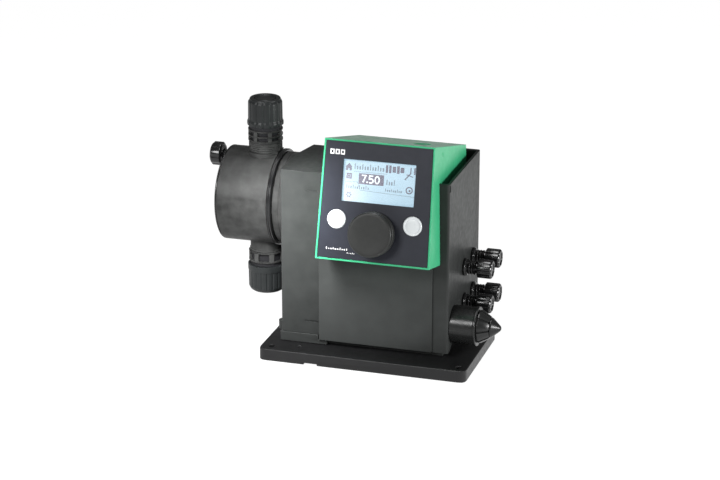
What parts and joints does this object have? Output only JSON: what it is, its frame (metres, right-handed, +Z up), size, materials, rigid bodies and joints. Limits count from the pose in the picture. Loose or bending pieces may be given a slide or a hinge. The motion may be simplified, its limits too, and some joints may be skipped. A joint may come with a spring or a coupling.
{
  "type": "diaphragm dosing pump",
  "caption": "Motor-driven diaphragm dosing pump: plate-mounted housing, tilted control unit with click wheel, dosing head with check valves, capped signal sockets and mains inlet.",
  "frame": {"origin": "centre of the mounting plate's four screw holes, on the plate's underside", "axes": "+X towards the signal sockets, -Y towards the operating panel, +Z up"},
  "size_m": [0.3025, 0.1685, 0.2381],
  "materials": {
    "housing": "finely grained moulded plastic",
    "plate": "moulded plastic",
    "green_shell": "satin moulded plastic",
    "fascia": "fine matt overlay",
    "window": "clear pane",
    "screen": "lit liquid crystal display",
    "board": "green circuit board",
    "switch": "moulded plastic",
    "button": "satin white plastic",
    "wheel": "soft-touch plastic",
    "head_plastic": "mottled filled plastic",
    "cap_plastic": "glossy black plastic",
    "steel": "machined steel",
    "brass": "turned brass",
    "rubber": "moulded rubber",
    "ball": "polished ceramic",
    "gear_plastic": "natural acetal"
  },
  "bodies": {
    "pump": {"mounting_plate": "plate", "housing_base": "housing", "housing_shell": "housing", "rear_cover": "housing", "front_panel": "housing", "control_cube_frame": "green_shell", "fascia": "fascia", "display_window": "window", "display_module": "screen", "control_board": "board", "start_stop_switch": "switch", "full_dose_switch": "switch", "encoder_body": "switch", "head_cover": "cap_plastic", "dosing_head": "head_plastic", "clamp_ring": "cap_plastic", "intermediate_flange": "head_plastic", "head_screw_1": "steel", "head_screw_2": "steel", "head_screw_3": "steel", "head_screw_4": "steel", "discharge_valve_cage": "head_plastic", "suction_valve_cage": "head_plastic", "diaphragm": "rubber", "rod_guide_bush": "brass", "front_bearing": "steel", "rear_bearing": "steel", "stepper_motor": "steel", "drive_chassis": "steel", "signal_socket_1": "housing", "signal_socket_2": "housing", "signal_socket_3": "housing", "signal_socket_4": "housing", "mains_inlet_body": "housing", "mains_gland_nut": "head_plastic", "mains_blanking_plug": "cap_plastic", "connection_board": "board"},
    "wheel_stem": {"encoder_stem": "steel"},
    "wheel": {"click_wheel": "wheel"},
    "start_stop": {"start_stop_button": "button"},
    "full_dose": {"full_dose_button": "button"},
    "vent_valve": {"vent_spindle": "cap_plastic"},
    "vent_grip": {"vent_knob": "cap_plastic"},
    "discharge_plug": {"discharge_blanking_plug": "cap_plastic"},
    "discharge_nut": {"discharge_union_nut": "cap_plastic"},
    "discharge_ball": {"discharge_valve_ball": "ball"},
    "suction_plug": {"suction_blanking_plug": "cap_plastic"},
    "suction_nut": {"suction_union_nut": "cap_plastic"},
    "suction_ball": {"suction_valve_ball": "ball"},
    "rod": {"drive_rod": "steel", "diaphragm_core": "rubber"},
    "eccentric": {"eccentric_shaft": "steel", "reduction_gear": "gear_plastic"},
    "pinion": {"motor_pinion": "brass"},
    "cap_1": {"signal_cap_1": "cap_plastic"},
    "cap_2": {"signal_cap_2": "cap_plastic"},
    "cap_3": {"signal_cap_3": "cap_plastic"},
    "cap_4": {"signal_cap_4": "cap_plastic"}
  },
  "joints": [
    {"name": "click_wheel_press", "type": "slide", "parent": "pump", "child": "wheel_stem", "axis": [0, 0.9736, -0.2285], "range_m": [0, 0.001], "stiffness_N_per_m": 1500, "springref_m": -0.001},
    {"name": "click_wheel_turn", "type": "hinge", "parent": "wheel_stem", "child": "wheel", "pos_m": [0.014, -0.06884, 0.14335], "axis": [0, -0.9736, 0.2285], "continuous": true},
    {"name": "start_stop_press", "type": "slide", "parent": "pump", "child": "start_stop", "axis": [0, 0.9736, -0.2285], "range_m": [0, 0.0012], "stiffness_N_per_m": 800, "springref_m": -0.001},
    {"name": "full_dose_press", "type": "slide", "parent": "pump", "child": "full_dose", "axis": [0, 0.9736, -0.2285], "range_m": [0, 0.0012], "stiffness_N_per_m": 800, "springref_m": -0.001},
    {"name": "vent_spindle_travel", "type": "slide", "parent": "pump", "child": "vent_valve", "axis": [-1, 0, 0], "range_m": [0, 0.0015]},
    {"name": "vent_knob_turn", "type": "hinge", "parent": "vent_valve", "child": "vent_grip", "pos_m": [-0.17, 0.0219, 0.177], "axis": [-1, 0, 0], "range_deg": [0, 360]},
    {"name": "discharge_nut_travel", "type": "slide", "parent": "pump", "child": "discharge_plug", "axis": [0, 0, 1], "range_m": [0, 0.006]},
    {"name": "discharge_nut_turn", "type": "hinge", "parent": "discharge_plug", "child": "discharge_nut", "pos_m": [-0.1226, 0.0219, 0.2214], "axis": [0, 0, 1], "range_deg": [0, 720]},
    {"name": "discharge_ball_lift", "type": "slide", "parent": "pump", "child": "discharge_ball", "axis": [0, 0, 1], "range_m": [0, 0.002]},
    {"name": "suction_nut_travel", "type": "slide", "parent": "pump", "child": "suction_plug", "axis": [0, 0, -1], "range_m": [0, 0.006]},
    {"name": "suction_nut_turn", "type": "hinge", "parent": "suction_plug", "child": "suction_nut", "pos_m": [-0.1226, 0.0219, 0.0614], "axis": [0, 0, -1], "range_deg": [0, 720]},
    {"name": "suction_ball_lift", "type": "slide", "parent": "pump", "child": "suction_ball", "axis": [0, 0, 1], "range_m": [0, 0.002]},
    {"name": "rod_stroke", "type": "slide", "parent": "pump", "child": "rod", "axis": [-1, 0, 0], "range_m": [-0.002, 0.002]},
    {"name": "eccentric_turn", "type": "hinge", "parent": "pump", "child": "eccentric", "pos_m": [-0.015, 0.0219, 0.139], "axis": [0, 1, 0], "continuous": true},
    {"name": "motor_turn", "type": "hinge", "parent": "pump", "child": "pinion", "pos_m": [-0.015, 0.0219, 0.1052], "axis": [0, 1, 0], "continuous": true},
    {"name": "signal_cap_1_removal", "type": "slide", "parent": "pump", "child": "cap_1", "axis": [1, 0, 0], "range_m": [0, 0.006]},
    {"name": "signal_cap_2_removal", "type": "slide", "parent": "pump", "child": "cap_2", "axis": [1, 0, 0], "range_m": [0, 0.006]},
    {"name": "signal_cap_3_removal", "type": "slide", "parent": "pump", "child": "cap_3", "axis": [1, 0, 0], "range_m": [0, 0.006]},
    {"name": "signal_cap_4_removal", "type": "slide", "parent": "pump", "child": "cap_4", "axis": [1, 0, 0], "range_m": [0, 0.006]}
  ],
  "couplings": [
    {"joint": "vent_spindle_travel", "follows": "vent_knob_turn", "m_per_rad": 0.0002387},
    {"joint": "discharge_nut_travel", "follows": "discharge_nut_turn", "m_per_rad": 0.0004774},
    {"joint": "suction_nut_travel", "follows": "suction_nut_turn", "m_per_rad": 0.0004774},
    {"joint": "motor_turn", "follows": "eccentric_turn", "ratio": -3.3333}
  ]
}
